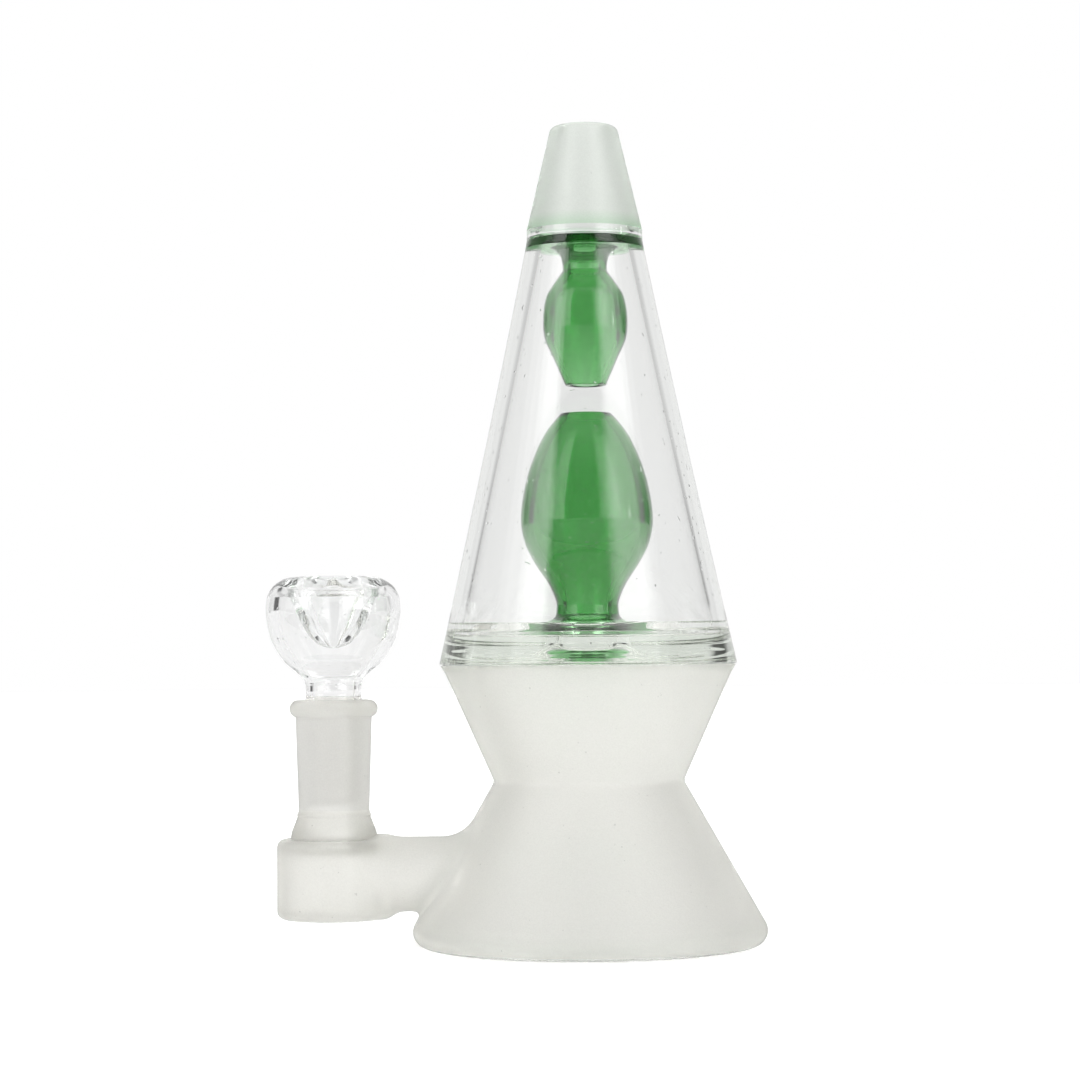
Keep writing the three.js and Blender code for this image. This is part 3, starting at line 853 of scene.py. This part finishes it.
def net_of(field, low, high, step):
    """Surface net of a distance field: (vertices, quads), its points drawn onto the surface."""
    axes = [np.arange(a, b + step, step) for a, b in zip(low, high)]
    grid = np.meshgrid(*axes, indexing="ij")
    distance = field(*grid)
    inside = distance < 0
    corners = np.stack([inside[i:i - 1 or None, j:j - 1 or None, k:k - 1 or None]
                        for i, j, k in CORNERS])
    cells = np.argwhere(corners.any(0) & ~corners.all(0))
    total, count = np.zeros((len(cells), 3)), np.zeros((len(cells), 1))
    for a, b in CELL_EDGES:
        start, way = cells + a, np.subtract(b, a)
        d0, d1 = distance[tuple(start.T)], distance[tuple((cells + b).T)]
        cut = (d0 < 0) != (d1 < 0)
        t = np.where(cut, d0 / np.where(cut, d0 - d1, 1), 0)[:, None]
        total += np.where(cut[:, None], start + t * way, 0)
        count += cut[:, None]
    points = np.array(low) + step * total / count
    for _ in range(4):
        here = field(*points.T)
        slope = np.stack([(field(*(points + e).T) - field(*(points - e).T)) / (2 * SLOPE_STEP)
                          for e in np.eye(3) * SLOPE_STEP], 1)
        steep = np.maximum((slope**2).sum(1), 0.25)
        points = points - slope * np.clip(here / steep, -step, step)[:, None]

    number = np.full(inside[1:, 1:, 1:].shape, -1)
    number[tuple(cells.T)] = np.arange(len(cells))
    quads = []
    for axis in range(3):
        u, v = np.eye(3, dtype=int)[(axis + 1) % 3], np.eye(3, dtype=int)[(axis + 2) % 3]
        first = np.take(inside, range(inside.shape[axis] - 1), axis)
        second = np.take(inside, range(1, inside.shape[axis]), axis)
        at = np.argwhere(first != second)
        at = at[(at[:, (axis + 1) % 3] > 0) & (at[:, (axis + 2) % 3] > 0)]
        at = at[(at < np.array(number.shape)).all(1)]
        ring = np.stack([number[tuple((at - s).T)] for s in (0 * u, u, u + v, v)], 1)
        leaves = first[tuple(at.T)]
        quads.append(np.where(leaves[:, None], ring, ring[:, ::-1]))
    return points, np.concatenate(quads)


def welded_shell():
    points, quads = net_of(shell_distance, SHELL_LOW, SHELL_HIGH, SHELL_STEP)
    mesh = bmesh.new()
    vertices = [mesh.verts.new(p) for p in points]
    for quad in quads:
        mesh.faces.new([vertices[i] for i in quad])
    top = DECK_BOTTOM_Z + WELD
    for height, cut_off in ((POLISHED_EDGE_Z, False), (top, True)):
        bmesh.ops.bisect_plane(mesh, geom=mesh.verts[:] + mesh.edges[:] + mesh.faces[:],
                               plane_co=(0, 0, height), plane_no=(0, 0, 1), clear_outer=cut_off)
    rim = [edge for edge in mesh.edges if edge.is_boundary]
    bmesh.ops.triangle_fill(mesh, edges=rim, use_beauty=True, normal=(0, 0, 1))
    mesh.verts.index_update()
    centres = np.array([face.calc_center_median() for face in mesh.faces])
    outer = np.abs(outer_skin(*centres.T)) < np.abs(inner_skin(*centres.T))
    outer &= (centres[:, 2] < top - 1e-4) & (centres[:, 2] > POLISHED_EDGE_Z)
    faces = [tuple(v.index for v in face.verts) for face in mesh.faces]
    points = [tuple(v.co) for v in mesh.verts]
    mesh.free()
    return points, faces, [0 if o else 1 for o in outer]


make_piece("welded_shell", *welded_shell(), [frosted_outside, smooth_glass],
           ["base_bell", "base_cup", "side_tube", "side_pot"], "frosted_glass", "pipe")


# ---- Loose bowl ---------------------------------------------------------------------------------

BOWL_NECK_RADIUS = 6.9
BOWL_NECK_BORE = 5.1
PLUG_WALL = 1.3
GLOBE_WALLS = [1.8, 2.9, 3.0, 2.9]


def bowl_joint():
    low_z, top = PLUG_END_Z, LIP_TOP_Z
    bore = joint_radius(low_z) - JOINT_FIT - PLUG_WALL
    neck = box_mm("bowl_joint")[1].z
    ground = [(bore + 0.3, low_z), (joint_radius(low_z) - JOINT_FIT - 0.3, low_z),
              (joint_radius(low_z + 0.4) - JOINT_FIT, low_z + 0.4),
              (joint_radius(top) - JOINT_FIT, top - 0.3)]
    outside = [(BOWL_NECK_RADIUS, top + 0.5), (BOWL_NECK_RADIUS, neck)]
    inside = [(BOWL_NECK_BORE, neck), (BOWL_NECK_BORE, 59.4), (bore, low_z + 0.4)]
    return [(0, ground), (1, outside), (1, inside)]


def bowl_cup():
    """A globe whose rim turns in and runs down to a funnel with a small hole at its tip."""
    rim_z = box_mm("bowl_cup")[1].z
    neck_z = box_mm("bowl_joint")[1].z
    globe = spline([(BOWL_NECK_RADIUS, neck_z - WELD), (7.5, 66.2), (9.3, 67.9), (12.3, 70.6),
                    (15.3, 75.6), (16.6, 81.8), (16.4, 85.9), (15.7, 87.8), (14.5, 89.3),
                    (12.2, 90.8), (9.9, rim_z)], 8)
    funnel = spline([(9.9, rim_z), (8.5, rim_z - 0.8), (7.0, 88.2), (5.2, 84.8), (3.2, 79.5),
                     (1.6, 76.7), (0.8, 75.6), (0.8, 74.3)], 8)
    under = spline([(1.2, 73.9), (4.0, 74.8), (6.2, 77), (8.4, 80.9), (10.1, 84.8),
                    (11.2, 87), (12.6, 87.7)], 8)
    hollow = inset(globe[8:8 * 7], GLOBE_WALLS)[::-1]
    return [(0, globe[:-1] + funnel + under + hollow
             + [(BOWL_NECK_BORE, neck_z + 1.2), (BOWL_NECK_BORE, neck_z - WELD)])]


turn_piece("bowl_joint_glass", bowl_joint(), [ground_glass, smooth_glass], ["bowl_joint"],
           "ground_glass", body="bowl", x=ARM_X)
turn_piece("bowl_cup_glass", bowl_cup(), [clear_glass], ["bowl_cup"], "clear_glass",
           body="bowl", x=ARM_X)
